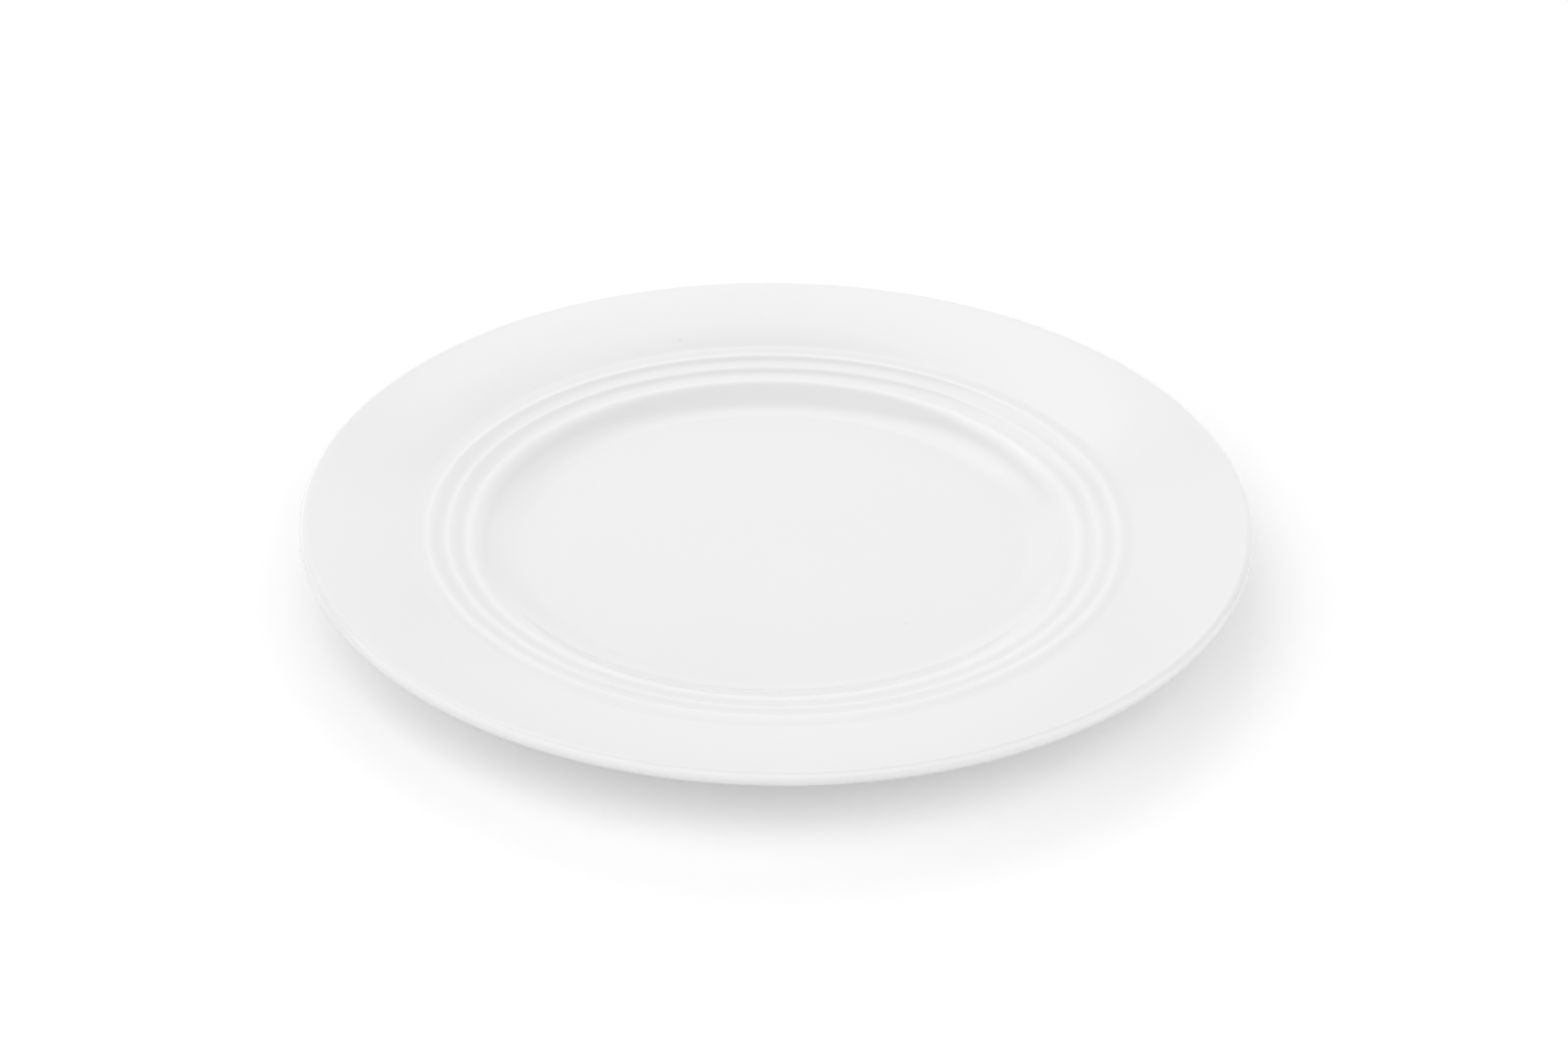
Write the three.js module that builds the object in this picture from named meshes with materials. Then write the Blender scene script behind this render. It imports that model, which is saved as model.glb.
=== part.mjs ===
// A rimmed porcelain saucer: one fired body, and the two coats of glaze that are fused to it.
// Millimetres, +Z up. The origin is on the table, at the middle of the foot ring.
// Every piece is turned about Z, so each is drawn as half a cross-section: x is the radius, y the height.
import * as THREE from "three";

// Turning
const SEGMENTS = 60;

// Well: the flat floor and the wall round it
const FLOOR_DIAMETER = 90.4;
const FLOOR_THICKNESS = 4;
const WALL_WIDTH = 9.5;
const WELL_DEPTH = 2.7;
const COVE_REACH = 1;
const WALL_SLOPE = THREE.MathUtils.degToRad(25.5);
const SHOULDER_RADIUS = 14;

// Ridges round the well, on a cone that rises outwards
const RIDGE_COUNT = 3;
const RIDGE_PITCH = 3.6;
const RIDGE_SLOPE = THREE.MathUtils.degToRad(11.8);
const CREST_RADIUS = 0.9;
const GROOVE_DEPTH = 0.15;
const HOLLOW_WIDTH = 3.4;
const HOLLOW_RISE = 0.1;

// Flange and lip
const FLANGE_WIDTH = 18.27;
const FLANGE_SLOPE_IN = THREE.MathUtils.degToRad(15.24);
const FLANGE_SLOPE_OUT = THREE.MathUtils.degToRad(9);
const LIP_THICKNESS = 2.5;

// Underside and foot ring
const ROOT_THICKNESS = 4;
const BASE_RECESS = 1.8;
const FOOT_OVERHANG = 2.7;
const FOOT_WIDTH = 4.6;
const FOOT_FACE_WIDTH = 2.6;
const FOOT_CORNER_RADIUS = 0.5;
const FOOT_SIDE_SLOPE = THREE.MathUtils.degToRad(68);

// Glaze
const GLAZE_THICKNESS = 0.3;
const GLAZE_LINE_HEIGHT = 0.8;
const GLAZE_TAPER = 1.5;

const point = (x, y) => new THREE.Vector2(x, y);
const direction = (angle) => point(Math.cos(angle), Math.sin(angle));
const along = (start, angle, reach) => start.clone().addScaledVector(direction(angle), reach);

// Points on an arc, from one angle to the other.
function arc(centre, radius, from, to, steps) {
  return new THREE.EllipseCurve(centre.x, centre.y, radius, radius, from, to, to < from).getPoints(steps);
}

// Points on a smooth curve that leaves its start at one angle and reaches its end at another.
function sweep(start, startAngle, startReach, end, endAngle, endReach, steps) {
  const leave = along(start, startAngle, startReach);
  const arrive = along(end, endAngle, -endReach);
  return new THREE.CubicBezierCurve(start, leave, arrive, end).getPoints(steps);
}

// Joins stretches end to end, dropping each point that repeats the one before it.
function chain(...stretches) {
  const same = 1e-4;
  const joined = [];
  for (const p of stretches.flat()) {
    if (!joined.length || joined.at(-1).distanceTo(p) > same) joined.push(p);
  }
  return joined;
}

// Well floor and the first crest, from which the ridge cone starts
const floorRadius = FLOOR_DIAMETER / 2;
const floorHeight = BASE_RECESS + FLOOR_THICKNESS;
const floorEdge = point(floorRadius, floorHeight);
const firstCrest = point(floorRadius + WALL_WIDTH, floorHeight + WELL_DEPTH);

// Crests and grooves are arcs that run into each other. Half a pitch and the depth give the sum of their radii.
const halfPitch = RIDGE_PITCH / 2;
const arcSum = (halfPitch ** 2 + GROOVE_DEPTH ** 2) / (2 * GROOVE_DEPTH);
const grooveRadius = arcSum - CREST_RADIUS;
const flankAngle = Math.asin(halfPitch / arcSum);
const ridgeNormal = RIDGE_SLOPE + Math.PI / 2;

// A point on the ridge cone: a distance along it from the first crest, and a height square to it.
function onCone(distance, height) {
  return along(along(firstCrest, RIDGE_SLOPE, distance), ridgeNormal, height);
}

function crestArc(index, steps) {
  const centre = onCone(index * RIDGE_PITCH, -CREST_RADIUS);
  const inner = index === 0 ? 0 : flankAngle;
  return arc(centre, CREST_RADIUS, ridgeNormal + inner, ridgeNormal - flankAngle, steps);
}

function grooveArc(index, steps) {
  const centre = onCone((index + 0.5) * RIDGE_PITCH, grooveRadius - GROOVE_DEPTH);
  const bottom = ridgeNormal - Math.PI;
  return arc(centre, grooveRadius, bottom - flankAngle, bottom + flankAngle, steps);
}

// The first crest rolls over into the wall by a wider shoulder; the others have a groove on both sides.
function ridges() {
  const turn = WALL_SLOPE - RIDGE_SLOPE;
  const shoulder = arc(onCone(0, -SHOULDER_RADIUS), SHOULDER_RADIUS, ridgeNormal + turn, ridgeNormal, 3);
  const stretches = [shoulder];
  for (let i = 0; i < RIDGE_COUNT; i += 1) {
    stretches.push(crestArc(i, 2));
    if (i < RIDGE_COUNT - 1) stretches.push(grooveArc(i, 4));
  }
  return chain(...stretches);
}

// The wall leaves the floor in a tight cove and steepens up to the shoulder.
function wall(shoulderStart) {
  const reach = (shoulderStart.x - floorRadius) / 3;
  return sweep(floorEdge, 0, COVE_REACH, shoulderStart, WALL_SLOPE, reach, 6);
}

// A shallow hollow leads from the last crest to the flange, which flattens on its way out to the lip.
function flange(ridgeEnd) {
  const flankSlope = RIDGE_SLOPE - flankAngle;
  const toe = point(ridgeEnd.x + HOLLOW_WIDTH, ridgeEnd.y + HOLLOW_RISE);
  const hollow = sweep(ridgeEnd, flankSlope, HOLLOW_WIDTH / 3, toe, FLANGE_SLOPE_IN, HOLLOW_WIDTH / 3, 3);
  const meanSlope = (FLANGE_SLOPE_IN + FLANGE_SLOPE_OUT) / 2;
  const end = point(toe.x + FLANGE_WIDTH, toe.y + FLANGE_WIDTH * Math.tan(meanSlope));
  const reach = FLANGE_WIDTH / 3;
  return chain(hollow, sweep(toe, FLANGE_SLOPE_IN, reach, end, FLANGE_SLOPE_OUT, reach, 3));
}

// The round lip, from the flange over to the underside, which meets it at the underside's slope.
function lip(centre, undersideSlope) {
  const top = FLANGE_SLOPE_OUT + Math.PI / 2;
  return arc(centre, LIP_THICKNESS / 2, top, undersideSlope - Math.PI / 2, 7);
}

// The underside runs straight from the lip to below the ridges, then turns down to the foot ring.
function underside(lipEnd, root, slope, footTop) {
  const reach = (root.x - footTop.x) / 2;
  const down = FOOT_SIDE_SLOPE + Math.PI;
  return chain([lipEnd], sweep(root, slope + Math.PI, reach, footTop, down, BASE_RECESS, 6));
}

// The bare foot ring, from the outer glaze line over the resting face to the inner one
const footOuter = floorRadius + FOOT_OVERHANG;
const footMiddle = footOuter - FOOT_WIDTH / 2;
const glazeLineOut = point(footOuter, GLAZE_LINE_HEIGHT);
const glazeLineIn = point(footOuter - FOOT_WIDTH, GLAZE_LINE_HEIGHT);

function bareFoot() {
  const corner = FOOT_CORNER_RADIUS;
  const half = FOOT_FACE_WIDTH / 2;
  const outer = arc(point(footMiddle + half, corner), corner, -corner / 2, -Math.PI / 2, 2);
  const inner = arc(point(footMiddle - half, corner), corner, -Math.PI / 2, corner / 2 - Math.PI, 2);
  return chain([glazeLineOut], outer, inner, [glazeLineIn]);
}

// The recessed base inside the foot ring
function base() {
  const reach = BASE_RECESS;
  const edge = point(glazeLineIn.x - 2 * reach, BASE_RECESS);
  const up = Math.PI - FOOT_SIDE_SLOPE;
  return chain(sweep(glazeLineIn, up, reach / 2, edge, Math.PI, reach, 4), [point(0, BASE_RECESS)]);
}

// The glazed face, from the middle of the floor out over the lip and back in to the outer glaze line
function face() {
  const ridgeLine = ridges();
  const flangeLine = flange(ridgeLine.at(-1));
  const flangeEnd = flangeLine.at(-1);
  const lipRadius = LIP_THICKNESS / 2;
  const lipCentre = along(flangeEnd, FLANGE_SLOPE_OUT - Math.PI / 2, lipRadius);
  const lastCrest = onCone((RIDGE_COUNT - 1) * RIDGE_PITCH, 0);
  const root = point(lastCrest.x, lastCrest.y - ROOT_THICKNESS);
  const toLip = lipCentre.clone().sub(root);
  const slope = toLip.angle() - Math.asin(lipRadius / toLip.length());
  const lipLine = lip(lipCentre, slope);
  const under = underside(lipLine.at(-1), root, slope, glazeLineOut);
  return chain([point(0, floorHeight)], wall(ridgeLine[0]), ridgeLine, flangeLine, lipLine, under);
}

// The clay under a glazed line. The glaze thins to nothing where it reaches the bare foot.
// Going along the line, the clay is on its right.
function clayUnder(line, bareEnd) {
  const lengths = [0];
  for (let i = 1; i < line.length; i += 1) lengths.push(lengths[i - 1] + line[i].distanceTo(line[i - 1]));
  const total = lengths.at(-1);
  return line.map((p, i) => {
    const before = line[Math.max(i - 1, 0)];
    const after = line[Math.min(i + 1, line.length - 1)];
    const tangent = after.clone().sub(before).normalize();
    if (p.x === 0) tangent.set(Math.sign(after.x - before.x), 0);
    const fromBare = bareEnd === "start" ? lengths[i] : total - lengths[i];
    const depth = GLAZE_THICKNESS * THREE.MathUtils.smoothstep(fromBare, 0, GLAZE_TAPER);
    return point(p.x + tangent.y * depth, p.y - tangent.x * depth);
  });
}

// A solid turned from a half section. The section runs clockwise, with its clay or glaze on the right.
function turned(name, section, material) {
  const geometry = new THREE.LatheGeometry(section.toReversed(), SEGMENTS);
  geometry.rotateX(Math.PI / 2);
  const mesh = new THREE.Mesh(geometry, material);
  mesh.name = name;
  return mesh;
}

const biscuit = new THREE.MeshStandardMaterial({ color: "#e9e6df", roughness: 0.85, metalness: 0 });
const glaze = new THREE.MeshStandardMaterial({ color: "#f0f0ef", roughness: 0.12, metalness: 0 });

const faceLine = face();
const faceClay = clayUnder(faceLine, "end");
const baseLine = base();
const baseClay = clayUnder(baseLine, "start");

const saucer = new THREE.Group();
saucer.add(
  turned("porcelain_body", chain(faceClay, bareFoot(), baseClay), biscuit),
  turned("face_glaze", chain(faceLine, faceClay.toReversed()), glaze),
  turned("base_glaze", chain(baseClay.toReversed(), baseLine), glaze),
);

export default saucer;
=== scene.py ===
import math

import bpy
from mathutils import Matrix, Vector


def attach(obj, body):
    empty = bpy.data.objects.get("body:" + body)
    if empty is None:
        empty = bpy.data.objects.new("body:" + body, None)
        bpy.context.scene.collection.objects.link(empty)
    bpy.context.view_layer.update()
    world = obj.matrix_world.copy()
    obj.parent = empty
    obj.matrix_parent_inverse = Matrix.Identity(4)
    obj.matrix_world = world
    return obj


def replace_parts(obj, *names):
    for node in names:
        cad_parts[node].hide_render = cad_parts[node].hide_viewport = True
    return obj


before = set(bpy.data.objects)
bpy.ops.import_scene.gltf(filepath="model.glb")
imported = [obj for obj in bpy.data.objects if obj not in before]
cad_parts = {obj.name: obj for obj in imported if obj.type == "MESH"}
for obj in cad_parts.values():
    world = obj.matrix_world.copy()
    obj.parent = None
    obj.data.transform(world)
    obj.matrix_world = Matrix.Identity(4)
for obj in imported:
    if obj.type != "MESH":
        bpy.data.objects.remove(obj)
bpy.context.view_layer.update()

MM = 0.001
AROUND = 240
SAME_POINT = 1e-4
ON_AXIS = 1e-6

# Sizes of the finished, glazed plate in millimetres, as in the part's source
FLOOR_DIAMETER = 90.4
FLOOR_THICKNESS = 4.0
WALL_WIDTH = 9.5
WELL_DEPTH = 2.7
COVE_REACH = 1.0
WALL_SLOPE = math.radians(25.5)
SHOULDER_RADIUS = 14.0
RIDGE_COUNT = 3
RIDGE_PITCH = 3.6
RIDGE_SLOPE = math.radians(11.8)
CREST_RADIUS = 0.9
GROOVE_DEPTH = 0.15
HOLLOW_WIDTH = 3.4
HOLLOW_RISE = 0.1
FLANGE_WIDTH = 18.27
FLANGE_SLOPE_IN = math.radians(15.24)
FLANGE_SLOPE_OUT = math.radians(9)
LIP_THICKNESS = 2.5
ROOT_THICKNESS = 4.0
BASE_RECESS = 1.8
FOOT_OVERHANG = 2.7
FOOT_WIDTH = 4.6
FOOT_FACE_WIDTH = 2.6
FOOT_CORNER_RADIUS = 0.5
FOOT_CORNER_START = 0.25
FOOT_SIDE_SLOPE = math.radians(68)
GLAZE_THICKNESS = 0.3
GLAZE_LINE_HEIGHT = 0.8
GLAZE_TAPER = 1.5
RIM_OFFSET = 0.5

# Steps along the stretches of the outline
FLOOR_STEPS = 12
WALL_STEPS = 28
CREST_STEPS = 10
GROOVE_STEPS = 14
HOLLOW_STEPS = 12
FLANGE_STEPS = 24
LIP_STEPS = 24
UNDER_STEPS = 12
TURN_STEPS = 24
CORNER_STEPS = 6
BASE_COVE_STEPS = 14
BASE_STEPS = 8

# Looks: the glaze is greyer where it pools and whiter where it is thin, with painted shade in the grooves
# and the hollow and painted highlights on the crests and the lip's edge
GLAZE_WHITE = 0.85
GLAZE_ROUGHNESS = 0.06
GLAZE_IOR = 1.5
GLOSS_SCALE = 60.0
RIPPLE_SCALE = 260.0
RIPPLE_DEPTH = 2.5e-6
# Painted shade, together with the glaze's pooling, darkens the grooves: how wide each dark band is and how
# much it darkens the white
POOL_AND_SHADE_WIDTH = 0.9
POOL_AND_PAINTED_SHADE = 0.035
# Painted shade in the hollow outside the last crest, as a share of a groove's
HOLLOW_PAINTED_SHADE_SHARE = 0.5
# Painted highlight, together with the thinner glaze, whitens each crest and the lip's edge: how wide each
# band is and how much it whitens
THIN_AND_HIGHLIGHT_WIDTH = 0.65
THIN_AND_PAINTED_HIGHLIGHT = 0.055
# Where on the lip's round the painted highlight lies, and how wide it is
PAINTED_LIP_HIGHLIGHT_ANGLE = math.radians(58)
PAINTED_LIP_HIGHLIGHT_WIDTH = 0.38
MOTTLE = 0.003
MOTTLE_SCALE = 35.0
GRAIN_SCALE = 700.0
SPECKS = ((-18.6, 65.6, 10.85), (23.1, -26.9, 5.8))
SPECK_SIZE = 0.6
SPECK_CORE = 0.18
SPECK_SHADE = 0.06
NOISE_LOW, NOISE_HIGH = 0.3, 0.7
BISCUIT_DARK = (0.70, 0.68, 0.63, 1)
BISCUIT_LIGHT = (0.80, 0.785, 0.74, 1)
BISCUIT_TINT_SCALE = 420.0
BISCUIT_ROUGHNESS = (0.72, 0.9)
BISCUIT_ROUGHNESS_SCALE = 150.0
BISCUIT_GRAIN_SCALE = 2600.0
BISCUIT_GRAIN_DEPTH = 2.5e-5

# The table and the room, in metres and in the levels of light that they give
TABLE_HALF = 4.0
TABLE_WHITE = 0.895
TABLE_GLOW = 0.198
GLOW_START, GLOW_END = 0.32, 0.9
ROOM_LEVEL = 0.162
LAMP_DISTANCE = 1.2


# Outline, as (radius, height) points
def along(start, angle, reach):
    return (start[0] + math.cos(angle) * reach, start[1] + math.sin(angle) * reach)


def line(start, end, steps):
    return [
        (start[0] + (end[0] - start[0]) * i / steps, start[1] + (end[1] - start[1]) * i / steps)
        for i in range(steps + 1)
    ]


def arc(centre, radius, first, last, steps):
    return [along(centre, first + (last - first) * i / steps, radius) for i in range(steps + 1)]


def sweep(start, start_angle, start_reach, end, end_angle, end_reach, steps):
    leave = along(start, start_angle, start_reach)
    arrive = along(end, end_angle, -end_reach)
    points = []
    for i in range(steps + 1):
        t = i / steps
        u = 1 - t
        points.append(tuple(
            u**3 * start[k] + 3 * u * u * t * leave[k] + 3 * u * t * t * arrive[k] + t**3 * end[k]
            for k in (0, 1)
        ))
    return points


def chain(*stretches):
    joined = []
    for stretch in stretches:
        for p in stretch:
            if not joined or math.dist(joined[-1], p) > SAME_POINT:
                joined.append(p)
    return joined


floor_radius = FLOOR_DIAMETER / 2
floor_height = BASE_RECESS + FLOOR_THICKNESS
first_crest = (floor_radius + WALL_WIDTH, floor_height + WELL_DEPTH)
half_pitch = RIDGE_PITCH / 2
arc_sum = (half_pitch**2 + GROOVE_DEPTH**2) / (2 * GROOVE_DEPTH)
groove_radius = arc_sum - CREST_RADIUS
flank_angle = math.asin(half_pitch / arc_sum)
ridge_normal = RIDGE_SLOPE + math.pi / 2
foot_outer = floor_radius + FOOT_OVERHANG
foot_middle = foot_outer - FOOT_WIDTH / 2
glaze_line_out = (foot_outer, GLAZE_LINE_HEIGHT)
glaze_line_in = (foot_outer - FOOT_WIDTH, GLAZE_LINE_HEIGHT)
rim_start = first_crest[0] + RIDGE_COUNT * RIDGE_PITCH


def on_cone(distance, height):
    return along(along(first_crest, RIDGE_SLOPE, distance), ridge_normal, height)


def ridges():
    shoulder = WALL_SLOPE - RIDGE_SLOPE
    centre = on_cone(0, -SHOULDER_RADIUS)
    stretches = [arc(centre, SHOULDER_RADIUS, ridge_normal + shoulder, ridge_normal, CREST_STEPS)]
    for i in range(RIDGE_COUNT):
        centre = on_cone(i * RIDGE_PITCH, -CREST_RADIUS)
        inner = ridge_normal + (flank_angle if i else 0)
        stretches.append(arc(centre, CREST_RADIUS, inner, ridge_normal - flank_angle, CREST_STEPS))
        if i < RIDGE_COUNT - 1:
            centre = on_cone((i + 0.5) * RIDGE_PITCH, groove_radius - GROOVE_DEPTH)
            bottom = ridge_normal - math.pi
            inner, outer = bottom - flank_angle, bottom + flank_angle
            stretches.append(arc(centre, groove_radius, inner, outer, GROOVE_STEPS))
    return chain(*stretches)


def face():
    ridge_line = ridges()
    ridge_end = ridge_line[-1]
    edge = (floor_radius, floor_height)
    floor = line((0.0, floor_height), edge, FLOOR_STEPS)
    reach = (ridge_line[0][0] - floor_radius) / 3
    wall = sweep(edge, 0, COVE_REACH, ridge_line[0], WALL_SLOPE, reach, WALL_STEPS)
    toe = (ridge_end[0] + HOLLOW_WIDTH, ridge_end[1] + HOLLOW_RISE)
    reach = HOLLOW_WIDTH / 3
    leave = RIDGE_SLOPE - flank_angle
    hollow = sweep(ridge_end, leave, reach, toe, FLANGE_SLOPE_IN, reach, HOLLOW_STEPS)
    mean_slope = (FLANGE_SLOPE_IN + FLANGE_SLOPE_OUT) / 2
    flange_end = (toe[0] + FLANGE_WIDTH, toe[1] + FLANGE_WIDTH * math.tan(mean_slope))
    reach = FLANGE_WIDTH / 3
    flange = sweep(toe, FLANGE_SLOPE_IN, reach, flange_end, FLANGE_SLOPE_OUT, reach, FLANGE_STEPS)
    lip_radius = LIP_THICKNESS / 2
    lip_centre = along(flange_end, FLANGE_SLOPE_OUT - math.pi / 2, lip_radius)
    last_crest = on_cone((RIDGE_COUNT - 1) * RIDGE_PITCH, 0)
    root = (last_crest[0], last_crest[1] - ROOT_THICKNESS)
    across, up = lip_centre[0] - root[0], lip_centre[1] - root[1]
    slope = math.atan2(up, across) - math.asin(lip_radius / math.hypot(across, up))
    lip = arc(lip_centre, lip_radius, FLANGE_SLOPE_OUT + math.pi / 2, slope - math.pi / 2, LIP_STEPS)
    under = line(lip[-1], root, UNDER_STEPS)
    reach = (root[0] - foot_outer) / 2
    arrive = FOOT_SIDE_SLOPE + math.pi
    turn = sweep(root, slope + math.pi, reach, glaze_line_out, arrive, BASE_RECESS, TURN_STEPS)
    return chain(floor, wall, ridge_line, hollow, flange, lip, under, turn)


def bare_foot():
    corner = FOOT_CORNER_RADIUS
    half = FOOT_FACE_WIDTH / 2
    down = -math.pi / 2
    outer = arc((foot_middle + half, corner), corner, -FOOT_CORNER_START, down, CORNER_STEPS)
    inner = arc((foot_middle - half, corner), corner, down, FOOT_CORNER_START - math.pi, CORNER_STEPS)
    return chain([glaze_line_out], outer, inner, [glaze_line_in])


def base():
    reach = BASE_RECESS
    edge = (glaze_line_in[0] - 2 * reach, BASE_RECESS)
    leave = math.pi - FOOT_SIDE_SLOPE
    cove = sweep(glaze_line_in, leave, reach / 2, edge, math.pi, reach, BASE_COVE_STEPS)
    return chain(cove, line(edge, (0.0, BASE_RECESS), BASE_STEPS))


def smoothstep(x, low, high):
    t = min(max((x - low) / (high - low), 0.0), 1.0)
    return t * t * (3 - 2 * t)


def lengths_of(points):
    total = [0.0]
    for p, q in zip(points, points[1:]):
        total.append(total[-1] + math.dist(p, q))
    return total


# The clay's surface under a coat, which thins to nothing towards its bare end
def clay_under(points, bare_end):
    lengths = lengths_of(points)
    clay = []
    for i, p in enumerate(points):
        before, after = points[max(i - 1, 0)], points[min(i + 1, len(points) - 1)]
        across, up = after[0] - before[0], after[1] - before[1]
        size = math.hypot(across, up)
        across, up = across / size, up / size
        if p[0] == 0:
            across, up = math.copysign(1, across), 0.0
        from_bare = lengths[i] if bare_end == "start" else lengths[-1] - lengths[i]
        depth = GLAZE_THICKNESS * smoothstep(from_bare, 0, GLAZE_TAPER)
        clay.append((p[0] + up * depth, p[1] - across * depth))
    return clay


def bell(x, width):
    return math.exp(-0.5 * (x / width) ** 2)


# How the glaze's tone lies along the face: below 0 on a crest, where the glaze draws thin and a highlight is
# painted, or on the lip's edge, where a highlight is painted, and above 0 in a groove, where the glaze pools
# and shade is painted, or in the hollow, where shade is painted
def glaze_pool_and_painted_light(points):
    rim = max(range(len(points)), key=lambda i: points[i][0])
    lip_radius = LIP_THICKNESS / 2
    lip_highlight_spot = along((points[rim][0] - lip_radius, points[rim][1]), PAINTED_LIP_HIGHLIGHT_ANGLE, lip_radius)
    tone_marks = []
    for i, (r, z) in enumerate(points):
        across, up = r - first_crest[0], z - first_crest[1]
        up_cone = across * math.cos(RIDGE_SLOPE) + up * math.sin(RIDGE_SLOPE)
        # Painted highlight, with the glaze drawn thin, along each crest
        thin_and_highlight = sum(bell(up_cone - k * RIDGE_PITCH, THIN_AND_HIGHLIGHT_WIDTH) for k in range(RIDGE_COUNT))
        # Painted highlight on the lip's edge
        thin_and_highlight += bell(math.dist((r, z), lip_highlight_spot), PAINTED_LIP_HIGHLIGHT_WIDTH)
        # Painted shade, with the glaze's pooling, in the middle of each groove
        pool_and_shade = sum(bell(up_cone - (k + 0.5) * RIDGE_PITCH, POOL_AND_SHADE_WIDTH) for k in range(RIDGE_COUNT - 1))
        # Painted shade in the hollow outside the last crest
        pool_and_shade += HOLLOW_PAINTED_SHADE_SHARE * bell(up_cone - (RIDGE_COUNT - 0.5) * RIDGE_PITCH, POOL_AND_SHADE_WIDTH)
        tone_marks.append(pool_and_shade - thin_and_highlight if i < rim else 0.0)
    return tone_marks


# A surface turned about Z from a half section
def turned(name, section, values=None):
    verts, rows = [], []
    for r, z in section:
        if r < ON_AXIS:
            rows.append([len(verts)])
            verts.append((0.0, 0.0, z * MM))
            continue
        rows.append(list(range(len(verts), len(verts) + AROUND)))
        for k in range(AROUND):
            a = 2 * math.pi * k / AROUND
            x = r * math.cos(a) + RIM_OFFSET * smoothstep(r, rim_start, rim_start + FLANGE_WIDTH)
            verts.append((x * MM, r * math.sin(a) * MM, z * MM))
    faces = []
    for low, high in zip(rows, rows[1:]):
        for k in range(AROUND):
            here = (low[k % len(low)], high[k % len(high)])
            after = (high[(k + 1) % len(high)], low[(k + 1) % len(low)])
            faces.append(list(dict.fromkeys(here + after)))
    mesh = bpy.data.meshes.new(name)
    mesh.from_pydata(verts, [], faces)
    mesh.shade_smooth()
    if values:
        layer = mesh.attributes.new("glaze_pool_and_painted_light", "FLOAT", "POINT")
        layer.data.foreach_set("value", [v for row, v in zip(rows, values) for _ in row])
    piece = bpy.data.objects.new(name, mesh)
    bpy.context.scene.collection.objects.link(piece)
    return piece


def value_node(tree, operation, *values):
    """A Math node. Each value is a socket or a number."""
    made = tree.nodes.new("ShaderNodeMath")
    made.operation = operation
    feed(tree, made, *values)
    return made.outputs[0]


def feed(tree, made, *values):
    for socket, value in zip(made.inputs, values):
        if isinstance(value, bpy.types.NodeSocket):
            tree.links.new(value, socket)
        else:
            socket.default_value = value


def ramp(tree, value, low, high, to_low, to_high, smooth=False):
    made = tree.nodes.new("ShaderNodeMapRange")
    if smooth:
        made.interpolation_type = "SMOOTHSTEP"
    feed(tree, made, value, low, high, to_low, to_high)
    return made.outputs["Result"]


def noise(tree, place, scale, detail=2.0):
    made = tree.nodes.new("ShaderNodeTexNoise")
    made.inputs["Scale"].default_value = scale
    made.inputs["Detail"].default_value = detail
    tree.links.new(place, made.inputs["Vector"])
    return made.outputs["Fac"]


def varied(tree, place, scale, low, high):
    return ramp(tree, noise(tree, place, scale), NOISE_LOW, NOISE_HIGH, low, high)


def object_place(tree):
    return tree.nodes.new("ShaderNodeTexCoord").outputs["Object"]


def bumped(tree, height, depth, shader):
    made = tree.nodes.new("ShaderNodeBump")
    made.inputs["Strength"].default_value = 1.0
    made.inputs["Distance"].default_value = depth
    tree.links.new(height, made.inputs["Height"])
    tree.links.new(made.outputs["Normal"], shader.inputs["Normal"])


def new_material(name):
    material = bpy.data.materials.new(name)
    material.use_nodes = True
    return material, material.node_tree, material.node_tree.nodes["Principled BSDF"]


def glaze_material():
    material, tree, shader = new_material("white_glaze")
    place = object_place(tree)
    # The attribute darkens the white with pooling and painted shade where it is above 0, and whitens it with
    # thin glaze and painted highlights where it is below 0
    depth = tree.nodes.new("ShaderNodeAttribute")
    depth.attribute_name = "glaze_pool_and_painted_light"
    pooled_and_shaded = ramp(tree, depth.outputs["Fac"], 0.0, 1.0, 0.0, POOL_AND_PAINTED_SHADE)
    thin_and_highlight = ramp(tree, depth.outputs["Fac"], 0.0, -1.0, 0.0, THIN_AND_PAINTED_HIGHLIGHT)
    tone = value_node(tree, "SUBTRACT", thin_and_highlight, pooled_and_shaded)
    tone = value_node(tree, "ADD", tone, varied(tree, place, MOTTLE_SCALE, -MOTTLE, MOTTLE))
    tone = value_node(tree, "ADD", tone, varied(tree, place, GRAIN_SCALE, -MOTTLE / 2, MOTTLE / 2))
    for spot in SPECKS:
        away = tree.nodes.new("ShaderNodeVectorMath")
        away.operation = "DISTANCE"
        away.inputs[1].default_value = [c * MM for c in spot]
        tree.links.new(place, away.inputs[0])
        distance = away.outputs["Value"]
        mark = ramp(tree, distance, SPECK_CORE * MM, SPECK_SIZE * MM, SPECK_SHADE, 0.0, smooth=True)
        tone = value_node(tree, "SUBTRACT", tone, mark)
    white = value_node(tree, "MULTIPLY_ADD", tone, GLAZE_WHITE, GLAZE_WHITE)
    tree.links.new(white, shader.inputs["Base Color"])
    gloss = varied(tree, place, GLOSS_SCALE, GLAZE_ROUGHNESS * 0.8, GLAZE_ROUGHNESS * 1.2)
    tree.links.new(gloss, shader.inputs["Roughness"])
    shader.inputs["IOR"].default_value = GLAZE_IOR
    bumped(tree, noise(tree, place, RIPPLE_SCALE, 1.0), RIPPLE_DEPTH, shader)
    return material


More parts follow.
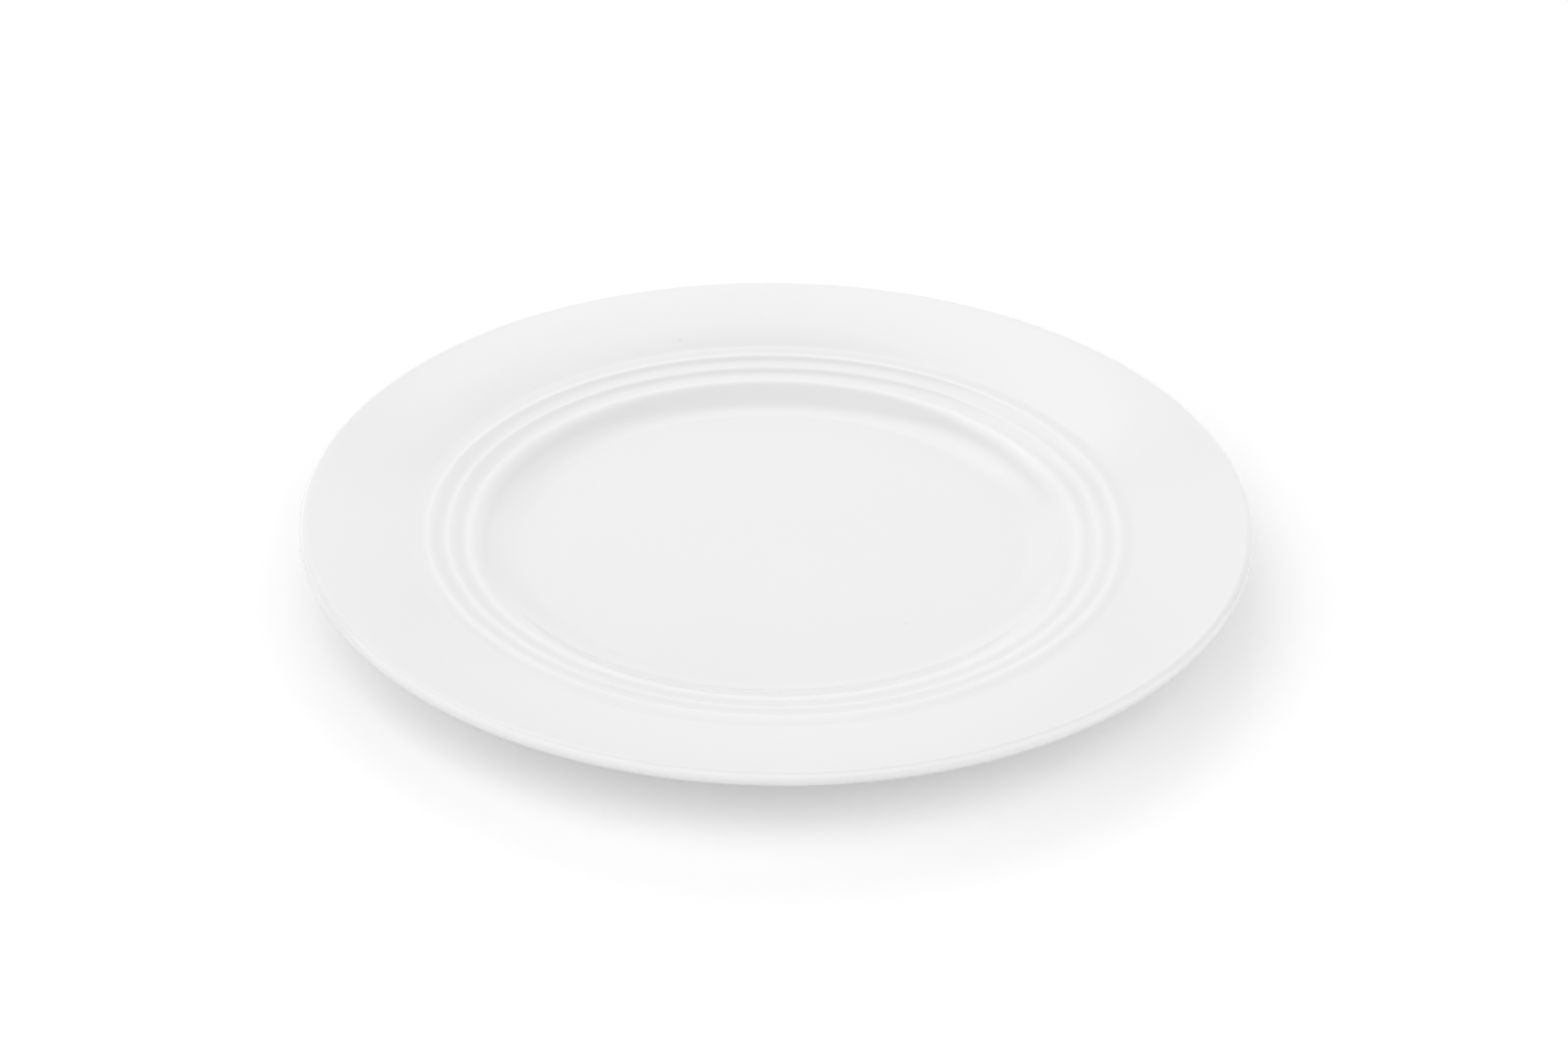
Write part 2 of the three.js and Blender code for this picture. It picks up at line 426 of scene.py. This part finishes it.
def biscuit_material():
    material, tree, shader = new_material("bare_biscuit")
    place = object_place(tree)
    tint = tree.nodes.new("ShaderNodeMix")
    tint.data_type = "RGBA"
    tint.inputs["A"].default_value = BISCUIT_DARK
    tint.inputs["B"].default_value = BISCUIT_LIGHT
    share = ramp(tree, noise(tree, place, BISCUIT_TINT_SCALE, 5.0), 0.35, 0.65, 0.0, 1.0)
    tree.links.new(share, tint.inputs["Factor"])
    tree.links.new(tint.outputs["Result"], shader.inputs["Base Color"])
    rough = varied(tree, place, BISCUIT_ROUGHNESS_SCALE, *BISCUIT_ROUGHNESS)
    tree.links.new(rough, shader.inputs["Roughness"])
    bumped(tree, noise(tree, place, BISCUIT_GRAIN_SCALE, 4.0), BISCUIT_GRAIN_DEPTH, shader)
    return material


face_line = face()
face_clay = clay_under(face_line, "end")
face_pool_and_light = glaze_pool_and_painted_light(face_line)
base_line = base()
base_clay = clay_under(base_line, "start")

glaze = glaze_material()
body = turned("fired_body", chain(face_clay, bare_foot(), base_clay))
body.data.materials.append(biscuit_material())
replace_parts(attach(body, "root"), "porcelain_body")
face_section = face_line + face_clay[-2::-1]
base_section = base_clay[::-1] + base_line[1:]
for name, section, values, stands_for in (
    ("glaze_over_face", face_section, face_pool_and_light + face_pool_and_light[-2::-1], "face_glaze"),
    ("glaze_in_foot", base_section, [0.0] * len(base_section), "base_glaze"),
):
    coat = turned(name, section, values)
    coat.data.materials.append(glaze)
    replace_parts(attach(coat, "root"), stands_for)


# 1 for a ray from the camera, a reflection or a transmission, and 0 for the light that falls on things
def seen_rays(tree):
    path = tree.nodes.new("ShaderNodeLightPath").outputs
    seen = value_node(tree, "MAXIMUM", path["Is Camera Ray"], path["Is Glossy Ray"])
    return value_node(tree, "MAXIMUM", seen, path["Is Transmission Ray"])


# A white table, which the camera sees white out to where the lamps no longer reach
def table_material():
    material, tree, shader = new_material("white_table")
    tree.nodes.remove(shader)
    diffuse = tree.nodes.new("ShaderNodeBsdfDiffuse")
    diffuse.inputs["Color"].default_value = (TABLE_WHITE, TABLE_WHITE, TABLE_WHITE, 1)
    away = tree.nodes.new("ShaderNodeVectorMath")
    away.operation = "LENGTH"
    tree.links.new(object_place(tree), away.inputs[0])
    level = ramp(tree, away.outputs["Value"], GLOW_START, GLOW_END, TABLE_GLOW, 1.0, smooth=True)
    glow = tree.nodes.new("ShaderNodeEmission")
    tree.links.new(value_node(tree, "MULTIPLY", seen_rays(tree), level), glow.inputs["Strength"])
    both = tree.nodes.new("ShaderNodeAddShader")
    tree.links.new(diffuse.outputs[0], both.inputs[0])
    tree.links.new(glow.outputs[0], both.inputs[1])
    tree.links.new(both.outputs[0], tree.nodes["Material Output"].inputs["Surface"])
    return material


ground = bpy.data.meshes.new("table")
ground_corners = [(x * TABLE_HALF, y * TABLE_HALF, 0) for x, y in ((-1, -1), (1, -1), (1, 1), (-1, 1))]
ground.from_pydata(ground_corners, [], [(0, 1, 2, 3)])
ground.materials.append(table_material())
table = bpy.data.objects.new("table", ground)
bpy.context.scene.collection.objects.link(table)

# Room
world = bpy.data.worlds.new("room")
bpy.context.scene.world = world
world.use_nodes = True
background = world.node_tree.nodes["Background"]
background.inputs["Color"].default_value = (1, 1, 1, 1)
background.inputs["Strength"].default_value = ROOM_LEVEL


# A panel that faces the plate. Azimuth 0 is straight behind the plate and 90 on its right. The panel's width
# and height are the angles that it fills as seen from there
def softbox(name, azimuth, elevation, wide, high, level, feather):
    a, e = math.radians(azimuth), math.radians(elevation)
    out = Vector((math.cos(e) * math.sin(a), math.cos(e) * math.cos(a), math.sin(e)))
    lamp = bpy.data.lights.new(name, "AREA")
    lamp.shape = "RECTANGLE"
    lamp.size = 2 * LAMP_DISTANCE * math.tan(math.radians(wide / 2))
    lamp.size_y = 2 * LAMP_DISTANCE * math.tan(math.radians(high / 2))
    lamp.energy = level * math.pi * lamp.size * lamp.size_y
    lamp.use_nodes = True
    tree = lamp.node_tree
    spot = tree.nodes.new("ShaderNodeSeparateXYZ")
    tree.links.new(tree.nodes.new("ShaderNodeNewGeometry").outputs["Parametric"], spot.inputs[0])
    fades = []
    for axis in "XY":
        from_edge = value_node(tree, "PINGPONG", spot.outputs[axis], 0.5)
        fades.append(ramp(tree, from_edge, 0.0, feather / 2, 0.0, 1.0, smooth=True))
    tree.links.new(value_node(tree, "MULTIPLY", *fades), tree.nodes["Emission"].inputs["Strength"])
    panel = bpy.data.objects.new(name, lamp)
    facing = out.to_track_quat("Z", "Y").to_matrix().to_4x4()
    panel.matrix_world = Matrix.Translation(out * LAMP_DISTANCE) @ facing
    panel.visible_camera = False
    bpy.context.scene.collection.objects.link(panel)


softbox("horizon", -49.4, 6.0, 49.9, 12.9, 0.423, 0.13)
softbox("back_sweep", -2.4, 10.7, 122.5, 73.9, 1.178, 0.89)
softbox("back_softbox", -4.4, 41.1, 70.7, 44.5, 0.886, 0.73)
softbox("top_softbox", -6.3, 47.6, 33.5, 25.2, 1.231, 0.75)
softbox("left_softbox", -130.5, 45.3, 115.1, 85.0, 1.02, 0.1)
softbox("right_softbox", 115.5, 38.4, 82.7, 85.0, 0.972, 0.74)
softbox("right_strip", 89.7, 4.9, 66.0, 19.4, 1.887, 0.28)

# Camera, placed by the picture of the plate's axis, with the focal length in the picture's pixels
IMAGE = (1600, 1067)
SENSOR_WIDTH = 36
FOCAL_PIXELS = 3864
DISTANCE = 0.68
ELEVATION = math.radians(31.32)
ROLL = math.radians(0.70)
AIM_PIXEL = (789.6, 531.7)
AIM_POINT = Vector((0, 0, 9.97 * MM))

back = Vector((0, -math.cos(ELEVATION), math.sin(ELEVATION)))
level_right = Vector((1, 0, 0))
level_up = Vector((0, math.sin(ELEVATION), math.cos(ELEVATION)))
right = math.cos(ROLL) * level_right + math.sin(ROLL) * level_up
up = math.cos(ROLL) * level_up - math.sin(ROLL) * level_right
offset_x = (IMAGE[0] / 2 - AIM_PIXEL[0]) / FOCAL_PIXELS
offset_y = (IMAGE[1] / 2 - AIM_PIXEL[1]) / FOCAL_PIXELS
forward = (-back + offset_x * right - offset_y * up).normalized()
right = (right - forward * right.dot(forward)).normalized()
up = right.cross(forward)
lens = bpy.data.cameras.new("camera")
lens.sensor_fit = "HORIZONTAL"
lens.sensor_width = SENSOR_WIDTH
lens.lens = FOCAL_PIXELS * SENSOR_WIDTH / IMAGE[0]
lens.clip_start = 0.01
camera = bpy.data.objects.new("camera", lens)
facing = Matrix((right, up, -forward)).transposed().to_4x4()
camera.matrix_world = Matrix.Translation(AIM_POINT + back * DISTANCE) @ facing
bpy.context.scene.collection.objects.link(camera)
bpy.context.scene.camera = camera
bpy.context.scene.view_settings.view_transform = "Standard"
